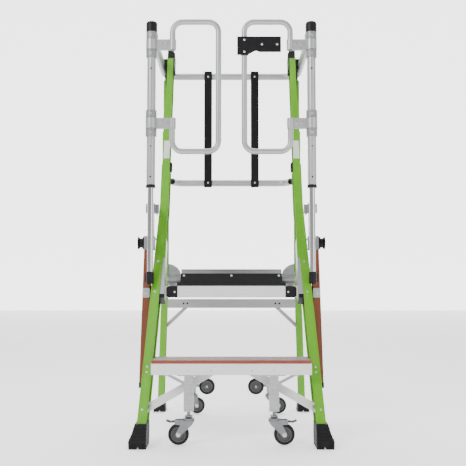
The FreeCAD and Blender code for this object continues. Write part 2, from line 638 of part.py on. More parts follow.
# apex: cast cap with an inner cheek on each front rail, and a cast arm back to the rear rail
cap_top = box("apex_roof", -D["irail_x"] + 0.1, -(D["irail_x"] - D["irail_w"]) + 1.0, 3.0, 79.0, D["irail_top"] + 0.1, 1768.0, TILTED)
cheek = box("apex_cheek", -(D["irail_x"] - D["irail_w"]) + 0.1, -(D["irail_x"] - D["irail_w"]) + 6.0, 6.0, 76.0, 1680.0, 1757.0, TILTED)
pair("apex_caps", fuse("apex_cap", cap_top, cheek))
armp = [(628, 1500), (700, 1478), (800, 1452), (868.5, 1452), (868.5, 1543), (800, 1562), (745, 1604), (690, 1612), (668, 1600)]
pair("apex_arms", prism("apex_arm", [armp], 10.0, at(-297.8, 0, 0, ALONG_X)))

b = new_body("rear_inner", at(0, 0, 0))
s1 = new_sketch(b, "XY_Plane", S("rinner_bot"))
add_loop(s1, c_section(-(S("rrail_x") + S("rinner_w") / 2 - 0.5), S("rrail_y") - S("rinner_d") / 2, S("rinner_w"), S("rinner_d"), S("rrail_wall")))
pad(b, s1, S("rinner_top") - S("rinner_bot"))
pair("rear_inner_rails", b)

# ================================================================== platform supports
bl = D["beam_len"] / 2
single("front_beam", prism("front_beam", [rect(q(0), q(0), S("beam_deep"), S("beam_high")), rect(S("beam_wall"), S("beam_wall"), S("beam_deep") - S("beam_wall"), S("beam_high") - S("beam_wall"))],
                           S("beam_len"), at(-bl, D["beam_y"], D["beam_z"], ALONG_X)))
cb = prism("corner_bracket", [[(-254, 536), (-247, 529), (-211.5, 529), (-211.5, 573.9), (-247, 573.9), (-254, 567)]], 4, at(0, D["beam_y"] - 0.05, 0, ALONG_Y))
pair("corner_brackets", cb)
kz = D["beam_z"] + D["beam_high"]
kick = prism("kick_l", [[(q(0), q(0)), (q(24), q(0)), (q(24), S("kick_t")), (S("kick_t"), S("kick_t")), (S("kick_t"), S("kick_high")), (q(0), S("kick_high"))]], S("kick_x2") * 2,
             at(-D["kick_x2"], D["beam_y"] + 2, kz + 0.05, ALONG_X))
t1 = box("kick_cut_left", -D["kick_x2"] - 1, -D["kick_x"], D["beam_y"] - 5, D["beam_y"] + 40, kz + 13, kz + 80)
t2 = box("kick_cut_right", D["kick_x"], D["kick_x2"] + 1, D["beam_y"] - 5, D["beam_y"] + 40, kz + 13, kz + 80)
single("kick_plate", cut("kick_plate", kick, t1, t2))

# rear deck brackets: a tongue in the rear inner rail and an arm under the deck
rb_ = prism("rear_deck_bracket", [[(-316.5, 577), (-290, 577), (-290, 550), (-215, 550), (-215, 565.5), (-252, 565.5), (-252, 640), (-316.5, 640)]], 20, at(0, 846, 0, ALONG_Y))
pair("rear_deck_brackets", rb_)

# ================================================================== deck (tilts about the pins in the hangers)
dl = []
nb = 6
wid = 2 * D["deck_x"] / nb
prof = [(-D["deck_x"], 592.0), (D["deck_x"], 592.0)]
ribs = []
nrib = 31
pitch = 2 * D["deck_x"] / nrib
for i in range(nrib):
    x1 = D["deck_x"] - i * pitch
    ribs += [(x1, 610.0), (x1 - pitch * 0.62, 610.0), (x1 - pitch * 0.62, 608.2), (x1 - pitch * 0.999 if i < nrib - 1 else -D["deck_x"], 608.2)]
deck = prism("deck_panel", [prof + ribs], S("deck_rear") - S("deck_front"), at(0, D["deck_rear"], 0, ALONG_Y))
relief = cyl("deck_relief", 36, 60, at(-255, D["pivot_y"], D["pivot_z"], AXLE_X))
relief2 = cyl("deck_relief2", 36, 60, at(195, D["pivot_y"], D["pivot_z"], AXLE_X))
single("deck_panel", cut("deck_panel", deck, relief, relief2))
side = prism("deck_side", [c_section(q(-248), q(566), q(20), q(25.8), q(3))], 516, at(0, 846, 0, ALONG_Y))
rear_b = prism("deck_rear_beam", [rect(q(0), q(0), q(40), q(25.8)), rect(q(3), q(3), q(37), q(22.8))], 455, at(-227.5, 806, 566, ALONG_X))
mid_b = prism("deck_mid_beam", [rect(q(0), q(0), q(40), q(25.8)), rect(q(3), q(3), q(37), q(22.8))], 455, at(-227.5, 540, 566, ALONG_X))
group("deck_frame", side, mirror(side, "deck_side_right"), rear_b, mid_b)

gz, gy = D["pivot_z"], D["pivot_y"]
gus = [(-248, 612), (-248, 661), (-238, 660), (-226, 655), (-214, 646), (-204, 634), (-200.5, 622), (-200.5, 612)]
gus_p = prism("gusset_web", [gus], 8, at(0, gy + 4, 0, ALONG_Y))
gus_b = box("gusset_foot", -248, -200.5, gy - 12, gy + 45, 610.05, 614.0)
boss = cyl("gusset_boss", 30, 47.5, at(-248, gy, gz, AXLE_X))
gbore = cyl("gusset_bore", D["pivot_pin"] + 0.1, 60, at(-255, gy, gz, AXLE_X))
gfuse = fuse("gusset_solid", gus_p, gus_b, boss)
pair("hinge_castings", cut("hinge_casting", gfuse, gbore))
toe = prism("toe_board", [[(0, 0), (4, 0), (4, 43), (-4, 43), (-4, 40), (0, 40)]], S("toe_x") * 2, at(-D["toe_x"], 840, 610.05, ALONG_X))
single("toe_board", toe)

# ================================================================== guard posts, tubes, sockets, collars
post = doc.addObject("Part::Cylinder", "post_outer")
put(post, "Radius", S("post_od") / 2)
put(post, "Height", S("post_top") - S("post_bot"))
post.Placement = at(px, py, D["post_bot"])
pin_ = cyl("post_inner", S("post_id"), 700, at(px, py, D["post_bot"] - 10))
holes = [cyl("post_hole%d" % i, 8.0, 30, at(px, py - 25, z, AXLE_Y)) for i, z in enumerate((1426, 1118, 998))]
pair("guard_posts", cut("guard_post", post, pin_, *holes))
pcap = turned("post_cap", [(0, 25.1), (17.05, 25.1), (17.05, 0), (21.0, 0), (22.0, 1.5), (22.0, 34.5), (19.5, 40.0), (13.0, 43.0), (0, 43.5)], at(px, py, D["cap_bot"]))
pair("post_caps", pcap)
tb = prism("post_tube", [], S("tube_top") - S("tube_bot"), at(px, py, D["tube_bot"]), circles=[(0, 0, S("tube_od")), (0, 0, S("tube_od") - S("tube_wall") * 2)])
pair("post_tubes", tb)
sock = turned("socket_cup", [(0, 0), (14.0, 0), (15.0, 1.5), (15.0, 44.0), (13.5, 47.0), (11.5, 47.0), (11.5, 14.0), (0, 14.0)], at(px, py, D["socket_bot"]))
link = box("socket_link", -335, -316.5, py + 8, LEGY - 0.1, 588, 622)
core = cyl("socket_core", 23.0, 60, at(px, py, D["tube_bot"]))
pair("post_sockets", fuse("post_socket", sock, cut("socket_link_cut", link, core)))
cols = []
for i, z in enumerate((1546.0, 1473.0, 1232.5, 1159.0)):
    c = prism("collar%d" % i, [], S("collar_high"), at(px, py, z), circles=[(0, 0, S("collar_od")), (0, 0, S("post_od"))])
    cols += [c, mirror(c, "collar_right%d" % i)]
group("hinge_collars", *cols)

# ================================================================== top and middle guard rails, bars
tx = D["trail_x"]
y_start = 237.5
top = bent_tube("top_guard_rail", [(0, 0), (0, D["trail_rear"] - y_start), (2 * tx, D["trail_rear"] - y_start), (2 * tx, 0)], D["trail_r"], S("grail_od"), S("grail_wall"), at(-tx, y_start, D["trail_z"]))
single("top_guard_rail", top)
sl = turned("rail_sleeve", [(15.55, 0), (21, 0), (21, 38), (15.55, 38)], at(-tx, y_start, D["trail_z"], basis((1, 0, 0), (0, 0, -1), (0, 1, 0))))
sad_b = box("saddle_block", -308, -297.9, 686, 730, 1562, 1608)
sad_c = cyl("saddle_core", 31.1, 80, at(-tx, 670, D["trail_z"], AXLE_Y))
sad = cut("saddle", sad_b, sad_c)
group("rail_sockets", sl, mirror(sl, "rail_sleeve_right"), sad, mirror(sad, "saddle_right"))
mx = D["mrail_x"]
mid = bent_tube("mid_guard_rail", [(0, 0), (0, 62), (2 * mx, 62), (2 * mx, 0)], D["mrail_r"], S("grail_od"), S("grail_wall"), at(-mx, 818, D["mrail_z"]))
single("mid_guard_rail", mid)
bx = D["bar_x"]
bar = prism("guard_bar", [rect(-(S("bar_x") + S("bar_w") / 2), S("bar_bot"), -(S("bar_x") - S("bar_w") / 2), S("bar_top"))], S("bar_t"), at(0, D["trail_rear"] - D["grail_od"] / 2 - 0.05, 0, ALONG_Y))
pair("guard_bars", bar)

# ================================================================== gates
def gate(name, sd):
    gx = D["gate_out"]
    wide = D["gate_out"] - D["gate_in"]
    z0 = 1506.0
    loop = bent_tube(name + "_loop", [(0, 0), (0, D["gate_top"] - z0), (sd * -wide, D["gate_top"] - z0), (sd * -wide, D["gate_bot"] - z0), (0, D["gate_bot"] - z0), (0, 1228.0 - z0)],
                     D["gate_r"], S("gate_od"), S("gate_wall"), at(sd * gx, py, z0, ALONG_Y))
    single(name + "_loop", loop)
    straps = []
    for i, zb in enumerate((D["strap1_bot"], D["strap2_bot"])):
        kn_ = cyl("%s_knuckle%d" % (name, i), 45.0, S("strap_high"), at(sd * D["post_x"], py, zb))
        x_a, x_b = sorted((sd * D["post_x"], sd * gx))
        pl_ = box("%s_plate%d" % (name, i), x_a, x_b, py - D["strap_thick"] / 2, py + D["strap_thick"] / 2, zb, zb + D["strap_high"])
        wr_ = cyl("%s_wrap%d" % (name, i), 28.0, S("strap_high"), at(sd * gx, py, zb))
        f_ = fuse("%s_strap_solid%d" % (name, i), kn_, pl_, wr_)
        c1_ = cyl("%s_bore%d" % (name, i), S("post_od") + 0.16, 60, at(sd * D["post_x"], py, zb - 5))
        c2_ = cyl("%s_tubebore%d" % (name, i), S("gate_od"), 60, at(sd * gx, py, zb - 5))
        straps.append(cut("%s_strap%d" % (name, i), f_, c1_, c2_))
    group(name + "_straps", *straps)


gate("left_gate", -1)
gate("right_gate", 1)
lp = [(22.5, 1480), (65, 1480), (74, 1486), (92, 1495.5), (101, 1496), (110, 1491.5), (195, 1491.5), (195, 1553.5), (22.5, 1553.5)]
lat = prism("latch_face", [lp], 3.0, at(0, py - D["gate_od"] / 2 - 1.0, 0, ALONG_Y))
hk1 = box("latch_clip_low", 36.5, 65.5, py - 13.0, py + 13.5, 1484, 1500)
hk2 = box("latch_clip_high", 36.5, 65.5, py - 13.0, py + 13.5, 1532, 1548)
hkc = cyl("latch_clip_core", D["gate_od"] + 0.1, 120, at(51, py, 1460))
single("latch_plate", fuse("latch_plate", lat, cut("latch_clips", fuse("latch_clip_blocks", hk1, hk2), hkc)))

# ================================================================== side legs, collars, tubes, brackets, ties
b = new_body("side_leg", at(0, 0, 0))
s1 = new_sketch(b, "XY_Plane", S("leg_top"))
add_loop(s1, c_section(-S("leg_x"), q(LEGY), S("leg_w"), S("leg_d"), S("leg_wall")))
ll = D["leg_top"] - D["leg_bot"]
pad(b, s1, ll * math.sqrt(1 + lsl * lsl), direction=V(-lsl, 0, -1))
pair("side_legs", b)

cy_ = D["side_tube_y"]
stx = -D["side_tube_x"]
col_b = box("collar_block", -343.3, -303.6, 249.0, 290.0, 715.1, 770.0)
col_c = cyl("collar_core", S("side_tube_od"), 80, at(stx, cy_ - 4, 705))
lock_c = cyl("collar_lock_bore", 10.1, 30, at(-350, cy_ - 4, 743, AXLE_X))
collar_ = cut("leg_collar", col_b, col_c, lock_c)
ring = prism("bracket_ring", [], q(35), at(stx, cy_ - 4, 862), circles=[(0, 0, q(41)), (0, 0, S("side_tube_od"))])
fing = prism("bracket_finger", [[(-303, 271), (-287.5, 271), (-287.5, 277), (-297, 277), (-297, 340), (-303, 340)]], 35, at(0, 0, 862))
fc = cyl("bracket_core", 40.9, 60, at(stx, cy_ - 4, 850))
brk = fuse("side_bracket", ring, cut("bracket_finger_cut", fing, fc))
group("side_tube_clamps", collar_, mirror(collar_, "leg_collar_right"), brk, mirror(brk, "side_bracket_right"))
stb = prism("side_tube_raw", [], q(187), at(stx, cy_ - 4, 716), circles=[(0, 0, S("side_tube_od")), (0, 0, S("side_tube_od") - 5)])
sth = cyl("side_tube_hole", 10.1, 22, at(-340, cy_ - 4, 743, AXLE_X))
pair("side_tubes", cut("side_tube", stb, sth))

tie = prism("leg_tie", [[(-346.5, 300.1), (-342.5, 300.1), (-342.5, 322), (-258.4, 322), (-258.4, 297), (-254.4, 297), (-254.4, 326), (-346.5, 326)]], 30, at(0, 0, 545))
plate_ = prism("pivot_plate", [[(-346, 529), (-322, 529), (-319, 532), (-319, 563), (-322, 566), (-346, 566)]], 3, at(0, LEGY - 0.05, 0, ALONG_Y))
group("leg_ties", tie, mirror(tie, "leg_tie_right"), plate_, mirror(plate_, "pivot_plate_right"))

# ================================================================== locks
def lock_knob(name, sd):
    # hourglass pull knob with a locking pin through the collar and the side tube
    prof = [(0, -18), (5.0, -18), (5.0, 0), (18.5, 0), (24.5, 2.5), (24.5, 5), (18.5, 9), (18.0, 16), (24.0, 21.5), (24.5, 24), (22, 25.5), (0, 25.5)]
    rot = basis((0, -1, 0), (0, 0, 1), (-1, 0, 0)) if sd < 0 else basis((0, 1, 0), (0, 0, 1), (1, 0, 0))
    o = turned(name, prof, at(sd * 343.7, cy_ - 4, 743, rot))
    single(name, o)


lock_knob("left_leg_lock", -1)
lock_knob("right_leg_lock", 1)


def rail_lock(name, sd):
    # rocker on the inner mouth of the outer rail's top
    p = [(-257.7, 1142), (-253, 1139), (-249.5, 1144), (-248, 1154), (-250.5, 1160), (-248, 1170), (-250, 1178), (-257.7, 1179)]
    if sd > 0:
        p = [(-x, z) for x, z in p]
    o = prism(name, [p], 22, TILTED.multiply(Placement(V(0, 26, 0), ALONG_Y)))
    single(name, o)


rail_lock("left_rail_lock", -1)
rail_lock("right_rail_lock", 1)

# ================================================================== fasteners
fr = []


def add_rivet(bag, x, y, z, rot=FACE_FRONT, dia=9.0, high=2.2, both=True):
    i = len(bag)
    r_ = rivet("rivet_%d_%s" % (i, "a" if bag is fr else "b"), at(x, y, z, rot), dia, high)
    bag.append(r_)
    if both:
        bag.append(mirror(r_, "rivet_m%d_%s" % (i, "a" if bag is fr else "b")))


for xx in (0.0,):
    add_rivet(fr, xx, D["beam_y"] + 1.95, 615, both=False)
add_rivet(fr, -186, D["beam_y"] + 1.95, 615)
add_rivet(fr, -222, D["beam_y"] - 4.05, 551)
add_rivet(fr, -111, D["trail_rear"] - D["grail_od"] / 2 - 4.1, 1573)
add_rivet(fr, -111, D["trail_rear"] - D["grail_od"] / 2 - 4.1, 1063)
add_rivet(fr, -333, LEGY - 3.1, 547, dia=10)
dpin = cyl("deck_pin_body", S("pivot_pin"), 57, at(-260.9, gy, gz, AXLE_X))
fr += [dpin, mirror(dpin, "deck_pin_right")]
group("frame_fasteners", *fr)

br_ = []


def on_rail(bag, inset, zp, dia=8.5):
    """A rivet on the front face of the left outer rail."""
    x = rail_x(zp) + inset
    pl = TILTED.multiply(Placement(V(x, -0.05, zp), FACE_FRONT))
    i = len(bag)
    r_ = rivet("rail_rivet_%d" % i, pl, dia, 2.0)
    bag.append(r_)
    bag.append(mirror(r_, "rail_rivet_m%d" % i))


for inset, zz in ((17, 672), (17, 553), (17, 275), (17, 257), (14, 128)):
    on_rail(br_, inset, zz / CA)
for xx in (-155, -74):
    add_rivet(br_, xx, D["step_front"] - 0.05, 267, dia=6.5, high=1.5)
add_rivet(br_, -155, D["cleg_y"] - 16.1, 214, dia=7)
group("base_fasteners", *br_)

# ================================================================== recompute, check, export
doc.recompute()
bad = []
for o in doc.Objects:
    st = list(getattr(o, "State", []))
    if "Invalid" in st or "Error" in st:
        bad.append((o.Name, st))
for name, o in NODES.items():
    sh = o.Shape
    if sh.isNull() or not sh.isValid() or not sh.Solids:
        bad.append((name, "shape"))
if bad:
    for x in bad:
        print("BAD", x)
    raise SystemExit("model has failed objects")
if len(NODES) > 60:
    raise SystemExit("too many nodes: %d" % len(NODES))
os.makedirs("parts", exist_ok=True)
lo, hi = [1e9] * 3, [-1e9] * 3
for name, o in NODES.items():
    sh = o.Shape
    bb = sh.BoundBox
    for i, (a, c) in enumerate(((bb.XMin, bb.XMax), (bb.YMin, bb.YMax), (bb.ZMin, bb.ZMax))):
        lo[i], hi[i] = min(lo[i], a), max(hi[i], c)
    sh.exportStep("parts/" + name + ".step")
    print("%-22s solids %3d  volume %10.0f mm3" % (name, len(sh.Solids), sh.Volume))
print("nodes", len(NODES))
print("box", [round(v, 2) for v in lo], [round(v, 2) for v in hi])
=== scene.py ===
import bpy, bmesh, math
from mathutils import Vector, Matrix


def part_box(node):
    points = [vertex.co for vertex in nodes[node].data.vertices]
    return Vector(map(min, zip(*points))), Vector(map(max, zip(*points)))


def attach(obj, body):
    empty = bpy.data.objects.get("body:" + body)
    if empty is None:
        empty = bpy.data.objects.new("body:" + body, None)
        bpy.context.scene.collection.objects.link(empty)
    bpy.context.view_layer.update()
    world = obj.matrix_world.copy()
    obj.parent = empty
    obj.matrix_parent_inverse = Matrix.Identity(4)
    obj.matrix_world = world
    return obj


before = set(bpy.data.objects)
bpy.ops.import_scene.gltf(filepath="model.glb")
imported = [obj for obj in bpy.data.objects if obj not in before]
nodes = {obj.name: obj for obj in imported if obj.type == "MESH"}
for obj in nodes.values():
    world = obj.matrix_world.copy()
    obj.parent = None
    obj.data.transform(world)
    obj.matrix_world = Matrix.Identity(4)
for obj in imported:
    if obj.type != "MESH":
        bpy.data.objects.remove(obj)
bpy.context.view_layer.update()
YS = 436.75
LEAN = math.radians(21.80)
SA, CA = math.sin(LEAN), math.cos(LEAN)


def W(x, y, z):
    """Design millimetres to scene metres."""
    return Vector((x / 1000, (y - YS) / 1000, z / 1000))


TILT = Matrix.Translation(Vector((0, -YS / 1000, 0))) @ Matrix.Rotation(-LEAN, 4, 'X')


# ------------------------------------------------------------------ materials
def material(name, base, rough, metal=0.0, var=0.10, scale=30.0, stretch=(1, 1, 1), bump=0.05, bump_scale=200.0,
             dirt=0.0, dirt_col=(0.05, 0.045, 0.035), coat=0.0, rough_var=0.12, bump_stretch=None, spec=0.5):
    m = bpy.data.materials.new(name)
    m.use_nodes = True
    nt = m.node_tree
    b = nt.nodes["Principled BSDF"]
    b.inputs["Metallic"].default_value = metal
    b.inputs["Specular IOR Level"].default_value = spec
    if coat:
        b.inputs["Coat Weight"].default_value = coat
        b.inputs["Coat Roughness"].default_value = 0.25
    tc = nt.nodes.new("ShaderNodeTexCoord")
    mp = nt.nodes.new("ShaderNodeMapping")
    mp.inputs["Scale"].default_value = stretch
    nt.links.new(tc.outputs["Object"], mp.inputs["Vector"])
    n1 = nt.nodes.new("ShaderNodeTexNoise")
    n1.inputs["Scale"].default_value = scale
    n1.inputs["Detail"].default_value = 6
    n1.inputs["Roughness"].default_value = 0.6
    nt.links.new(mp.outputs[0], n1.inputs["Vector"])
    ramp = nt.nodes.new("ShaderNodeValToRGB")
    lo = [max(0, c * (1 - var)) for c in base]
    hi = [min(1, c * (1 + var)) for c in base]
    ramp.color_ramp.elements[0].position = 0.3
    ramp.color_ramp.elements[1].position = 0.7
    ramp.color_ramp.elements[0].color = (*lo, 1)
    ramp.color_ramp.elements[1].color = (*hi, 1)
    nt.links.new(n1.outputs["Fac"], ramp.inputs["Fac"])
    col = ramp.outputs["Color"]
    if dirt:
        n2 = nt.nodes.new("ShaderNodeTexNoise")
        n2.inputs["Scale"].default_value = 9.0
        n2.inputs["Detail"].default_value = 10
        n2.inputs["Roughness"].default_value = 0.72
        nt.links.new(tc.outputs["Object"], n2.inputs["Vector"])
        r2 = nt.nodes.new("ShaderNodeValToRGB")
        r2.color_ramp.elements[0].position = 0.52
        r2.color_ramp.elements[1].position = 0.74
        r2.color_ramp.elements[0].color = (0, 0, 0, 1)
        r2.color_ramp.elements[1].color = (dirt, dirt, dirt, 1)
        nt.links.new(n2.outputs["Fac"], r2.inputs["Fac"])
        mix = nt.nodes.new("ShaderNodeMix")
        mix.data_type = 'RGBA'
        nt.links.new(r2.outputs["Color"], mix.inputs["Factor"])
        nt.links.new(col, mix.inputs["A"])
        mix.inputs["B"].default_value = (*dirt_col, 1)
        col = mix.outputs["Result"]
    nt.links.new(col, b.inputs["Base Color"])
    n3 = nt.nodes.new("ShaderNodeTexNoise")
    n3.inputs["Scale"].default_value = bump_scale
    n3.inputs["Detail"].default_value = 4
    mp3 = nt.nodes.new("ShaderNodeMapping")
    mp3.inputs["Scale"].default_value = bump_stretch or stretch
    nt.links.new(tc.outputs["Object"], mp3.inputs["Vector"])
    nt.links.new(mp3.outputs[0], n3.inputs["Vector"])
    rr = nt.nodes.new("ShaderNodeMapRange")
    rr.inputs["To Min"].default_value = max(0.03, rough - rough_var)
    rr.inputs["To Max"].default_value = min(1.0, rough + rough_var)
    nt.links.new(n3.outputs["Fac"], rr.inputs["Value"])
    nt.links.new(rr.outputs[0], b.inputs["Roughness"])
    bp = nt.nodes.new("ShaderNodeBump")
    bp.inputs["Strength"].default_value = bump
    bp.inputs["Distance"].default_value = 0.0006
    nt.links.new(n3.outputs["Fac"], bp.inputs["Height"])
    nt.links.new(bp.outputs[0], b.inputs["Normal"])
    return m


M = {
    "green": material("hi_vis_green", (0.112, 0.365, 0.003), 0.42, var=0.07, scale=14, stretch=(8, 8, 0.6), bump=0.12, bump_scale=260, bump_stretch=(6, 6, 0.25), dirt=0.05, coat=0.10),
    "orange": material("orange_fibreglass", (0.175, 0.034, 0.006), 0.50, var=0.14, scale=18, stretch=(8, 8, 0.5), bump=0.12, bump_scale=260, bump_stretch=(6, 6, 0.25), dirt=0.10, coat=0.05),
    "rubber": material("black_rubber", (0.007, 0.007, 0.008), 0.62, var=0.25, scale=60, bump=0.20, bump_scale=420, dirt=0.07, dirt_col=(0.10, 0.09, 0.08), spec=0.22),
    "black": material("black_plastic", (0.007, 0.007, 0.008), 0.44, var=0.2, scale=50, bump=0.10, bump_scale=600, dirt=0.04, dirt_col=(0.10, 0.10, 0.10), spec=0.22),
    "black_metal": material("black_powder_coat", (0.006, 0.006, 0.007), 0.38, var=0.2, scale=50, bump=0.22, bump_scale=900, spec=0.22),
    # near-white base colour is a painted highlight: a lit copy of mill_aluminium for the step, braces and front beam
    "white_metal": material("aluminium_painted_highlight", (0.760, 0.760, 0.750), 0.42, metal=0.20, var=0.05, scale=25, stretch=(0.6, 6, 6), bump=0.06, bump_scale=300, bump_stretch=(0.3, 8, 8), dirt=0.06, dirt_col=(0.25, 0.24, 0.22)),
    "alloy": material("mill_aluminium", (0.400, 0.405, 0.410), 0.40, metal=0.55, var=0.07, scale=30, stretch=(0.6, 6, 6), bump=0.08, bump_scale=300, bump_stretch=(0.3, 8, 8), dirt=0.08, dirt_col=(0.20, 0.19, 0.18)),
    "satin": material("satin_anodised_tube", (0.420, 0.425, 0.430), 0.38, metal=0.55, var=0.05, scale=24, stretch=(3, 3, 0.5), bump=0.05, bump_scale=380, bump_stretch=(5, 5, 0.4), dirt=0.04, dirt_col=(0.2, 0.2, 0.2)),
    "casting": material("grey_casting", (0.250, 0.253, 0.258), 0.46, metal=0.45, var=0.10, scale=60, bump=0.20, bump_scale=520, dirt=0.10, dirt_col=(0.10, 0.10, 0.10)),
    "polished": material("polished_tube", (0.640, 0.640, 0.645), 0.14, metal=1.0, var=0.04, scale=24, stretch=(3, 3, 0.5), bump=0.02, bump_scale=300, bump_stretch=(6, 6, 0.3), rough_var=0.05),
    "steel": material("rivet_steel", (0.560, 0.560, 0.550), 0.28, metal=0.9, var=0.08, scale=120, bump=0.05, bump_scale=500, rough_var=0.08),
    "zinc": material("zinc_plate", (0.220, 0.224, 0.230), 0.38, metal=0.7, var=0.10, scale=70, bump=0.08, bump_scale=400, dirt=0.12, dirt_col=(0.14, 0.12, 0.10)),
    "tyre": material("tyre_rubber", (0.008, 0.008, 0.009), 0.55, var=0.25, scale=70, bump=0.15, bump_scale=500, dirt=0.22, dirt_col=(0.13, 0.12, 0.105), spec=0.22),
    "hub": material("wheel_hub_plastic", (0.075, 0.077, 0.080), 0.42, var=0.08, scale=60, bump=0.06, bump_scale=500, dirt=0.10, dirt_col=(0.12, 0.11, 0.10)),
    "label": material("plain_label", (0.720, 0.720, 0.700), 0.36, var=0.04, scale=40, bump=0.02, bump_scale=300),
    # near-black colour for flat discs: painted shade standing for the inside of a hole
    "hole_shade": material("painted_hole_shade", (0.010, 0.010, 0.010), 0.70, var=0.3, scale=60, bump=0.05, bump_scale=300),
    "tread": material("orange_tread", (0.250, 0.050, 0.010), 0.60, var=0.16, scale=60, bump=0.35, bump_scale=700, dirt=0.18, dirt_col=(0.12, 0.07, 0.04)),
    "red_edge": material("red_edge", (0.250, 0.035, 0.018), 0.50, var=0.15, scale=50, bump=0.10, bump_scale=500),
}
FINISH = {
    "outer_rails": "green", "inner_rails": "green", "rear_outer_rails": "green", "rear_inner_rails": "green",
    "side_legs": "orange", "apex_arms": "black_metal", "step_tread": "tread",
    "front_feet": "rubber", "rear_feet": "rubber",
    "plastic_end_fittings": "black", "apex_caps": "black", "corner_brackets": "black", "kick_plate": "black", "post_caps": "black", "post_sockets": "black", "rail_sockets": "black",
    "left_leg_lock": "black", "right_leg_lock": "black", "left_rail_lock": "black", "right_rail_lock": "black", "front_left_pedal": "black", "front_right_pedal": "black",
    "guard_bars": "black_metal",
    # step, step braces and front beam take the aluminium with the painted highlight
    "step": "white_metal", "step_braces": "white_metal", "front_beam": "white_metal", "rear_cross_beam": "alloy",
    "caster_legs": "alloy", "caster_arms": "alloy", "rail_hangers": "alloy", "rear_deck_brackets": "alloy", "deck_panel": "alloy", "deck_frame": "alloy", "hinge_castings": "casting", "toe_board": "alloy",
    "side_tube_clamps": "casting", "leg_ties": "alloy", "latch_plate": "black",
    "guard_posts": "satin", "hinge_collars": "casting", "top_guard_rail": "satin", "mid_guard_rail": "satin", "left_gate_loop": "satin", "right_gate_loop": "satin",
    "left_gate_straps": "satin", "right_gate_straps": "satin", "side_tubes": "satin",
    "post_tubes": "polished", "base_fasteners": "steel", "frame_fasteners": "steel",
    "front_left_fork": "zinc", "front_right_fork": "zinc", "rear_left_fork": "zinc", "rear_right_fork": "zinc",
}
WHEELS = [n for n in nodes if n.endswith("_wheel")]
ROUND = {"guard_posts", "post_tubes", "top_guard_rail", "mid_guard_rail", "left_gate_loop", "right_gate_loop", "base_fasteners", "frame_fasteners"} | set(WHEELS)


def set_material(o, m):
    o.data.materials.clear()
    o.data.materials.append(m)
    for p in o.data.polygons:
        p.material_index = 0


def smooth(o, angle=35):
    for p in o.data.polygons:
        p.use_smooth = True
    try:
        me = o.data
        me.set_sharp_from_angle(angle=math.radians(angle))
    except Exception:
        pass


for name, o in nodes.items():
    set_material(o, M[FINISH.get(name, "hub" if name in WHEELS else "alloy")])
    if name in WHEELS:
        # the tyre is the outer ring of the wheel: faces outside 70 % of its radius
        lo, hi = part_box(name)
        c = (Vector(lo) + Vector(hi)) / 2
        r = (hi[2] - lo[2]) / 2
        o.data.materials.append(M["tyre"])
        for p in o.data.polygons:
            d = p.center - c
            if math.hypot(d.x, d.z) > 0.745 * r:
                p.material_index = 1
    smooth(o)
    if name not in ROUND:
        mod = o.modifiers.new("edge_round", 'BEVEL')
        mod.width = 0.0007
        mod.segments = 2
        mod.limit_method = 'ANGLE'
        mod.angle_limit = math.radians(40)
        mod.harden_normals = True


# ------------------------------------------------------------------ small pieces
def finish(o, mat, body, bevel=0.0, seg=2):
    o.data.materials.append(mat)
    if bevel:
        mod = o.modifiers.new("edge_round", 'BEVEL')
        mod.width = bevel
        mod.segments = seg
        mod.limit_method = 'ANGLE'
        mod.angle_limit = math.radians(35)
    for p in o.data.polygons:
        p.use_smooth = True
    try:
        o.data.set_sharp_from_angle(angle=math.radians(38))
    except Exception:
        pass
    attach(o, body)
    return o


def mesh_piece(name, bm, matrix=None):
    me = bpy.data.meshes.new(name)
    bmesh.ops.recalc_face_normals(bm, faces=bm.faces)
    if matrix is not None:
        bm.transform(matrix)
        if matrix.determinant() < 0:
            bmesh.ops.reverse_faces(bm, faces=bm.faces)
    bm.to_mesh(me)
    bm.free()
    o = bpy.data.objects.new(name, me)
    bpy.context.scene.collection.objects.link(o)
    return o


def add_box(bm, x0, x1, y0, y1, z0, z1, m=None):
    """A box in design millimetres; with m (a 4x4) the numbers are local millimetres."""
    vs = []
    for x in (x0, x1):
        for y in (y0, y1):
            for z in (z0, z1):
                v = Vector((x / 1000, y / 1000, z / 1000))
                v = (m @ v) if m is not None else v - Vector((0, YS / 1000, 0))
                vs.append(bm.verts.new(v))
    for f in ((0, 1, 3, 2), (4, 6, 7, 5), (0, 4, 5, 1), (2, 3, 7, 6), (0, 2, 6, 4), (1, 5, 7, 3)):
        bm.faces.new([vs[i] for i in f])


def add_turned(bm, prof, place, seg=32):
    """Revolve (radius, height) points in millimetres about local Z, closed at both ends."""
    rings = []
    for r, h in prof:
        if r < 1e-6:
            rings.append([bm.verts.new(place @ Vector((0, 0, h / 1000)))])
        else:
            rings.append([bm.verts.new(place @ Vector((r / 1000 * math.cos(2 * math.pi * k / seg), r / 1000 * math.sin(2 * math.pi * k / seg), h / 1000))) for k in range(seg)])
    for a, b in zip(rings, rings[1:]):
        for k in range(seg):
            k2 = (k + 1) % seg
            if len(a) == 1 and len(b) == 1:
                continue
            if len(a) == 1:
                bm.faces.new((a[0], b[k], b[k2]))
            elif len(b) == 1:
                bm.faces.new((a[k2], a[k], b[0]))
            else:
                bm.faces.new((a[k], a[k2], b[k2], b[k]))


def facing(p, n, spin=0.0):
    """A frame at p whose local +Z is n."""
    q = Vector(n).normalized().to_track_quat('Z', 'Y')
    return Matrix.Translation(p) @ q.to_matrix().to_4x4() @ Matrix.Rotation(spin, 4, 'Z')


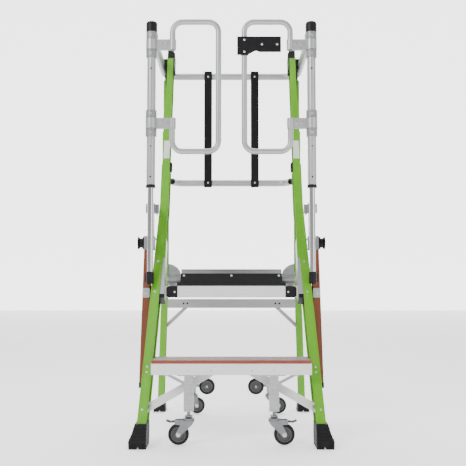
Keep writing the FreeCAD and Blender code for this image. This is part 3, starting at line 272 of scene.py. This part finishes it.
def add_hex(bm, place, af=10.0, high=5.0, washer=8.0, spin=0.0):
    """A hexagon head on a washer."""
    add_turned(bm, [(0, 0), (washer, 0), (washer, 0.9), (washer - 0.5, 1.3), (0, 1.3)], place, 28)
    r = af / 2 / math.cos(math.pi / 6)
    rings = []
    for rr, h in ((r, 1.3), (r, high - 0.6), (r - 0.9, high)):
        rings.append([bm.verts.new(place @ Vector((rr / 1000 * math.cos(math.pi * k / 3 + spin), rr / 1000 * math.sin(math.pi * k / 3 + spin), h / 1000))) for k in range(6)])
    for a, b in zip(rings, rings[1:]):
        for k in range(6):
            bm.faces.new((a[k], a[(k + 1) % 6], b[(k + 1) % 6], b[k]))
    bm.faces.new(rings[-1])
    bm.faces.new(list(reversed(rings[0])))


def both(fn, *names):
    """Calls fn(side, sd) for the left (-1) and the right (+1) side."""
    for side, sd in (("left", -1), ("right", 1)):
        fn(side, sd)


SHOE = [(0, -362, -300.5, -22, 88), (26, -364, -301, -18, 104), (52, -353, -302.5, -2, 118), (80, -346.5, -303.5, 22, 124)]


def shoe_at(z):
    """Section (x0, x1, y0, y1) of the front shoe at height z."""
    for p, q in zip(SHOE, SHOE[1:]):
        if z <= q[0]:
            k = (z - p[0]) / (q[0] - p[0])
            return [p[i] + k * (q[i] - p[i]) for i in range(1, 5)]
    return list(SHOE[-1][1:])


def shoe_detail(side, sd):
    bm = bmesh.new()
    # raised bands round the waist of the front shoe
    for z in (33, 44, 55, 66):
        x0, x1, y0, y1 = shoe_at(z)
        a, b = sorted((sd * -x0, sd * -x1))
        add_box(bm, a - 1.0, b + 1.0, y0 - 1.5, y0 + 12, z - 1.8, z + 1.8)
    o = mesh_piece("front_shoe_bands_" + side, bm)
    finish(o, M["rubber"], "front_base", 0.0012)
    bm = bmesh.new()
    for i in range(6):
        x = 304 + i * 9.4
        if 322 < x < 338:
            continue
        a, b = sorted((sd * x, sd * (x + 3.0)))
        add_box(bm, a, b, -22.9, -19, 3, 18)
    o = mesh_piece("front_shoe_ribs_" + side, bm)
    finish(o, M["rubber"], "front_base", 0.0006)
    # a waisted collar where the rear shoe meets its rail
    bm = bmesh.new()
    a, b = sorted((sd * 344.5, sd * 306.0))
    add_box(bm, a, b, 811.0, 879.0, 36, 40)
    add_box(bm, a - 3, b + 3, 808.5, 881.5, 24, 28)
    o = mesh_piece("rear_shoe_bands_" + side, bm)
    finish(o, M["rubber"], "rear_base", 0.0012)


both(shoe_detail)


def rail_detail(side, sd):
    # plain, warning-free label on the inner rail's front face
    bm = bmesh.new()
    x = sd * 274.0
    add_box(bm, x - 12.5, x + 12.5, 3.6, 4.6, 1198, 1286, TILT)
    o = mesh_piece("rail_label_" + side, bm)
    finish(o, M["label"], "upper_frame", 0.0002, 1)
    # raised pultrusion beads along both front edges of the outer rail above the bend
    bm = bmesh.new()
    for xx in (289.0, 262.0):
        add_box(bm, sd * xx - 1.6, sd * xx + 1.6, -0.7, 0.5, 976, 1167, TILT)
    o = mesh_piece("rail_beads_" + side, bm)
    finish(o, M["green"], "front_base", 0.0004)
    # the same beads below the bend follow the flare
    bm = bmesh.new()
    fl = 0.0539
    for xx in (289.0, 262.0):
        vs = []
        for z in (140, 974):
            dx = (974.7 - z) * fl
            for ox, oy in ((-1.6, -0.7), (1.6, -0.7), (1.6, 0.5), (-1.6, 0.5)):
                vs.append(bm.verts.new(TILT @ Vector(((sd * (xx + dx) + ox) / 1000, oy / 1000, z / 1000))))
        for k in range(4):
            bm.faces.new((vs[k], vs[(k + 1) % 4], vs[4 + (k + 1) % 4], vs[4 + k]))
        bm.faces.new(vs[0:4][::-1])
        bm.faces.new(vs[4:8])
    o = mesh_piece("rail_beads_low_" + side, bm)
    finish(o, M["green"], "front_base", 0.0)


both(rail_detail)


def gate_detail(side, sd):
    bm = bmesh.new()
    for zb in (1524, 1210):
        for xx in (-276, -256):
            add_hex(bm, facing(W(sd * -xx, 215 - 7.5, zb), (0, -1, 0)), af=8, high=4.4, washer=6.2, spin=0.3)
        for xx in (-276, -256):
            add_hex(bm, facing(W(sd * -xx, 215 + 7.5, zb), (0, 1, 0)), af=8, high=5.4, washer=6.2)
    o = mesh_piece("gate_strap_bolts_" + side, bm)
    finish(o, M["steel"], side + "_gate", 0.0003)
    # clamp seam of each strap band where it wraps the post
    bm = bmesh.new()
    for zb in (1503.5, 1189.5):
        add_box(bm, sd * 305 - 14, sd * 305 + 14, 215 - 8.6, 215 - 7.3, zb + 19.5, zb + 21.5)
    o = mesh_piece("gate_strap_seams_" + side, bm)
    finish(o, M["casting"], side + "_gate", 0.0003)


both(gate_detail)


def collar_detail(side, sd):
    bm = bmesh.new()
    for z in (1546 + 14, 1473 + 14, 1232.5 + 14, 1159 + 14):
        add_hex(bm, facing(W(sd * 315, 215 - 21.2, z), (0, -1, 0)), af=6.5, high=3.6, washer=4.8, spin=0.2)
    o = mesh_piece("collar_screws_" + side, bm)
    finish(o, M["steel"], "upper_frame", 0.0002)
    # bolts: side bracket, leg collar, corner bracket, apex arm, rear rail
    bm = bmesh.new()
    add_hex(bm, facing(W(sd * 300, 249 - 0.1, 0) + Vector((0, 0, 0.757)), (0, -1, 0)) @ Matrix.Identity(4), af=8, high=4.5, washer=6)
    for y, z in ((700, 1545), (760, 1530), (835, 1480), (835, 1520)):
        add_hex(bm, facing(W(sd * 297.8, y, z), (sd, 0, 0)), af=12, high=6.5, washer=10)
        add_hex(bm, facing(W(sd * 287.8, y, z), (-sd, 0, 0)), af=12, high=6.0, washer=10)
    o = mesh_piece("frame_bolts_" + side, bm)
    finish(o, M["steel"], "upper_frame", 0.0004)


both(collar_detail)


def beam_detail(side, sd):
    # access holes of the rear cross beam, drawn as flat near-black discs: painted shade inside the holes
    bm = bmesh.new()
    for x in (222, 204):
        add_turned(bm, [(0, 0), (4.6, 0), (4.6, 0.35), (0, 0.35)], facing(W(sd * x, 820.2 - 0.05, 494), (0, -1, 0)), 24)
    o = mesh_piece("beam_hole_shades_" + side, bm)
    finish(o, M["hole_shade"], "rear_base")
    bm = bmesh.new()
    add_hex(bm, facing(W(sd * 303, 839.9, 386), (0, -1, 0)), af=7, high=4, washer=5)
    add_hex(bm, facing(W(sd * 222, 839.9, 464), (0, -1, 0)), af=7, high=4, washer=5)
    o = mesh_piece("knee_bolts_" + side, bm)
    finish(o, M["steel"], "rear_base", 0.0003)
    # front step brace bolts, on the flat braces
    bm = bmesh.new()
    for x, z in ((-322, 141), (-300, 152), (-88, 275)):
        p = TILT @ Vector((sd * -x / 1000, 0.0200, z / CA / 1000 * 0 + z / 1000))
        add_hex(bm, facing(p, TILT.to_3x3() @ Vector((0, -1, 0))), af=9, high=4.5, washer=7)
    o = mesh_piece("brace_bolts_" + side, bm)
    finish(o, M["steel"], "front_base", 0.0003)


both(beam_detail)


def caster_detail(side, sd):
    for body, x, y, z, half in (("front_%s_fork" % side, sd * 191.5, 62, 38.6, 17.0), ("rear_%s_fork" % side, -156 if sd < 0 else 212, 765, 36.6, 16.0)):
        bm = bmesh.new()
        add_hex(bm, facing(W(x, y - half - 0.1, z), (0, -1, 0)), af=11, high=6.4, washer=8.5, spin=0.4)
        add_hex(bm, facing(W(x, y + half + 0.1, z), (0, 1, 0)), af=11, high=6.4, washer=8.5, spin=0.1)
        o = mesh_piece(body + "_axle_nuts", bm)
        finish(o, M["steel"], body, 0.0004)
    # bearing race ring under the caster leg
    bm = bmesh.new()
    add_turned(bm, [(6.4, 0), (13.5, 0), (14.5, 1.5), (14.5, 5), (13.0, 7), (6.4, 7), (6.4, 0)], facing(W(sd * 155, 62, 100), (0, 0, 1)), 36)
    o = mesh_piece("front_%s_stem_nut" % side, bm)
    finish(o, M["zinc"], "front_%s_fork" % side, 0.0003)
    # ribs on the brake pedal
    bm = bmesh.new()
    for k in range(4):
        xx = 199 + 21 + k * 4.2
        zz = 88.6 - 4 + k * 1.5
        a, b = sorted((sd * xx, sd * (xx + 1.8)))
        add_box(bm, a, b, 62 - 11, 62 + 11, zz - 1.5, zz + 1.5)
    o = mesh_piece("front_%s_pedal_ribs" % side, bm)
    finish(o, M["black"], "front_%s_pedal" % side, 0.0004)


both(caster_detail)

for side, sd in (("left", -1), ("right", 1)):
    # outer lock knob: gripping flutes round the rim
    bm = bmesh.new()
    for k in range(16):
        a = 2 * math.pi * k / 16
        for x0, x1 in ((2.0, 5.6), (20.6, 24.6)):
            m = Matrix.Translation(W(sd * 343.7, 270, 743)) @ Matrix.Rotation(a, 4, 'X')
            xa, xb = sorted((sd * x0, sd * x1))
            add_box(bm, xa, xb, -1.7, 1.7, 23.6, 25.2, m)
    o = mesh_piece("leg_lock_flutes_" + side, bm)
    finish(o, M["black"], side + "_leg_lock", 0.0005)
    # hinge pin heads of the deck
    bm = bmesh.new()
    add_turned(bm, [(0, 0), (11, 0), (12, 1.2), (12, 3.2), (9.5, 4.6), (0, 4.6)], facing(W(sd * 200.4, 285, 600), (-sd, 0, 0)), 36)
    o = mesh_piece("deck_pin_caps_" + side, bm)
    finish(o, M["black"], "deck", 0.0004)

# domed screw heads on the latch plate
bm = bmesh.new()
for x, z in ((51, 1492), (51, 1540), (120, 1522), (180, 1522)):
    add_turned(bm, [(0, 0), (4.4, 0), (4.2, 1.0), (3.0, 1.9), (0, 2.2)], facing(W(x, 215 - 15.0, z), (0, -1, 0)), 28)
o = mesh_piece("latch_plate_rivets", bm)
finish(o, M["steel"], "right_gate")

# screws of the deck planks
bm = bmesh.new()
for x in (-165, -82, 0, 82, 165):
    for y in (300, 560, 830):
        add_turned(bm, [(0, 0), (4.0, 0), (3.6, 0.7), (0, 1.1)], facing(W(x, y, 609.9), (0, 0, 1)), 24)
o = mesh_piece("deck_rivets", bm)
finish(o, M["steel"], "deck")

# pale wear strips between the tread's ribs
bm = bmesh.new()
for i in range(12):
    a = 45 + 160 - i * (160 / 12)
    add_box(bm, -290.0, 290.0, a - 7.4, a - 2.6, 303.9, 304.6)
o = mesh_piece("step_wear_strips", bm)
finish(o, M["alloy"], "front_base", 0.0002)

# red-brown edging of the step tread
bm = bmesh.new()
add_box(bm, -290.5, 290.5, 43.6, 45.2, 292.5, 303.2)
o = mesh_piece("step_nosing_front", bm)
finish(o, M["red_edge"], "front_base", 0.0008)

# ------------------------------------------------------------------ floor, light, camera
bpy.ops.mesh.primitive_plane_add(size=60, location=(0, 0, -0.0005))
floor = bpy.context.object
floor.name = "floor"
fm = material("floor_pale", (0.90, 0.90, 0.90), 0.75, var=0.01, scale=3, bump=0.0, bump_scale=50)
fm.node_tree.nodes["Principled BSDF"].inputs["Emission Color"].default_value = (1, 1, 1, 1)
fm.node_tree.nodes["Principled BSDF"].inputs["Emission Strength"].default_value = 0.75
bm_ = material("backdrop_pale", (0.90, 0.90, 0.90), 0.75, var=0.01, scale=3, bump=0.0, bump_scale=50)
bm_.node_tree.nodes["Principled BSDF"].inputs["Emission Color"].default_value = (1, 1, 1, 1)
bm_.node_tree.nodes["Principled BSDF"].inputs["Emission Strength"].default_value = 2.6
floor.data.materials.append(fm)
bpy.ops.mesh.primitive_plane_add(size=60, location=(0, 16, 0), rotation=(math.radians(90), 0, 0))
back = bpy.context.object
back.name = "backdrop"
back.data.materials.append(bm_)

world = bpy.data.worlds.new("studio")
bpy.context.scene.world = world
world.use_nodes = True
bg = world.node_tree.nodes["Background"]
bg.inputs[0].default_value = (1, 1, 1, 1)
bg.inputs[1].default_value = 0.50


def area(name, loc, target, size, power):
    l = bpy.data.lights.new(name, 'AREA')
    l.shape = 'RECTANGLE'
    l.size, l.size_y = size
    l.energy = power
    o = bpy.data.objects.new(name, l)
    bpy.context.scene.collection.objects.link(o)
    o.location = loc
    o.rotation_euler = (Vector(target) - Vector(loc)).to_track_quat('-Z', 'Y').to_euler()
    return o


area("key", (-2.6, -3.4, 3.4), (0, 0, 0.8), (1.6, 1.6), 150)
area("fill", (3.0, -3.0, 1.6), (0, 0, 0.8), (2.4, 2.4), 50)
area("top", (0, 0.6, 3.8), (0, 0, 0.6), (2.6, 2.6), 60)

cam = bpy.data.cameras.new("camera")
cam.lens = 60.10
cam.sensor_width = 36
cam.sensor_fit = 'HORIZONTAL'
cam.shift_x = 0.0034
cam.clip_end = 100
co = bpy.data.objects.new("camera", cam)
bpy.context.scene.collection.objects.link(co)
co.location = (0, -(2800 + YS) / 1000, 0.570)
co.rotation_euler = (math.radians(93.97), 0, 0)
bpy.context.scene.camera = co
